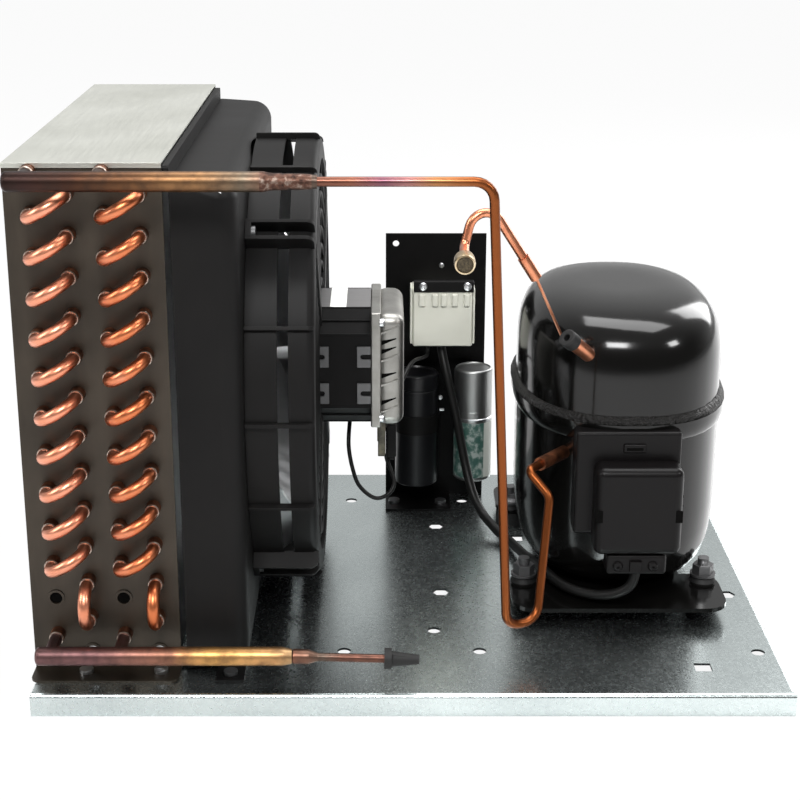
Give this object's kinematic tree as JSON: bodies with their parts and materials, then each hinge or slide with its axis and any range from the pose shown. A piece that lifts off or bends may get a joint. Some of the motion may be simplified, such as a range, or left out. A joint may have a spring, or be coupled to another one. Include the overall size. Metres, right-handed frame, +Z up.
{
  "type": "condensing unit",
  "caption": "Air-cooled refrigeration condensing unit: finned coil with fan shroud, axial fan and motor, hermetic compressor, controls and copper lines on a folded steel tray.",
  "frame": {"origin": "centre of the footprint at the underside of the tray's lips", "axes": "+Z up; +X from the coil towards the compressor; +Y from the coil's tube-bend end towards its hairpin end"},
  "size_m": [0.487, 0.392, 0.3462],
  "materials": {
    "galvanised_sheet": "satin, spangled zinc",
    "coated_plate": "satin, dark olive brown",
    "cover_sheet": "satin, light grey",
    "fin_aluminium": "satin",
    "dark_copper": "oxidised copper",
    "bright_copper": "bright copper",
    "tinted_copper": "copper with heat tints",
    "braze": "silver braze",
    "zinc_steel": "zinc plated",
    "black_rubber": "matt",
    "black_plastic": "satin",
    "gloss_black_plastic": "gloss",
    "bright_steel": "ground",
    "stack_steel": "laminated",
    "black_paint": "satin",
    "winding_copper": "varnished wire",
    "cast_aluminium": "die cast",
    "bronze": "sintered",
    "black_cable": "satin",
    "grey_plastic": "matt, light grey",
    "clamp_plastic": "matt, dark grey",
    "can_aluminium": "drawn can",
    "shell_black": "gloss black enamel",
    "cover_black": "satin black",
    "relay_plastic": "matt",
    "cast_iron": "as cast"
  },
  "bodies": {
    "unit": {"base_tray": "galvanised_sheet", "coil_front_plate": "coated_plate", "coil_rear_plate": "coated_plate", "coil_top_cover": "cover_sheet", "coil_bottom_cover": "galvanised_sheet", "fin_pack": "fin_aluminium", "hairpin_tubes": "dark_copper", "return_bends": "bright_copper", "braze_rings": "braze", "coil_screws": "zinc_steel", "upper_header": "tinted_copper", "lower_header": "tinted_copper", "liquid_outlet_tube": "tinted_copper", "outlet_cap": "black_rubber", "discharge_line": "bright_copper", "fan_shroud": "black_plastic", "fan_guard": "black_plastic", "shroud_screws": "zinc_steel", "motor_stator": "black_paint", "motor_windings": "winding_copper", "motor_end_shield": "cast_aluminium", "motor_inner_shield": "black_paint", "motor_bearings": "bronze", "motor_tabs": "zinc_steel", "motor_connector": "black_plastic", "fan_lead": "black_cable", "fan_supply_lead": "black_cable", "control_bracket": "black_paint", "bracket_screws": "zinc_steel", "terminal_box": "grey_plastic", "terminal_clamp": "clamp_plastic", "start_capacitor": "gloss_black_plastic", "run_capacitor": "can_aluminium", "capacitor_straps": "black_plastic", "compressor_base": "shell_black", "foot_grommets": "black_rubber", "foot_bolts": "zinc_steel", "lower_shell": "shell_black", "upper_shell": "shell_black", "shell_weld": "shell_black", "terminal_cover": "cover_black", "start_relay": "relay_plastic", "cord_clamp": "cover_black", "supply_cable": "black_cable", "discharge_stub": "dark_copper", "suction_connector": "dark_copper", "suction_plug": "black_rubber", "service_tube": "bright_copper", "service_fitting": "tinted_copper", "pump_block": "cast_iron", "pump_stator": "stack_steel", "stator_windings": "winding_copper", "valve_plate": "bright_steel", "suspension_springs": "bright_steel"},
    "fan": {"fan_blade": "fin_aluminium", "fan_shaft": "bright_steel", "fan_rotor": "stack_steel"},
    "crank": {"pump_rotor": "stack_steel", "crankshaft": "bright_steel"},
    "piston": {"piston": "bright_steel"}
  },
  "joints": [
    {"name": "fan_spin", "type": "hinge", "parent": "unit", "child": "fan", "pos_m": [-0.085, 0.0095, 0.1775], "axis": [1, 0, 0], "continuous": true},
    {"name": "crank_spin", "type": "hinge", "parent": "unit", "child": "crank", "pos_m": [0.15, 0.0325, 0.118], "axis": [0, 0, 1], "continuous": true},
    {"name": "piston_stroke", "type": "slide", "parent": "unit", "child": "piston", "axis": [0, 1, 0], "range_m": [-0.008, 0.008]}
  ]
}
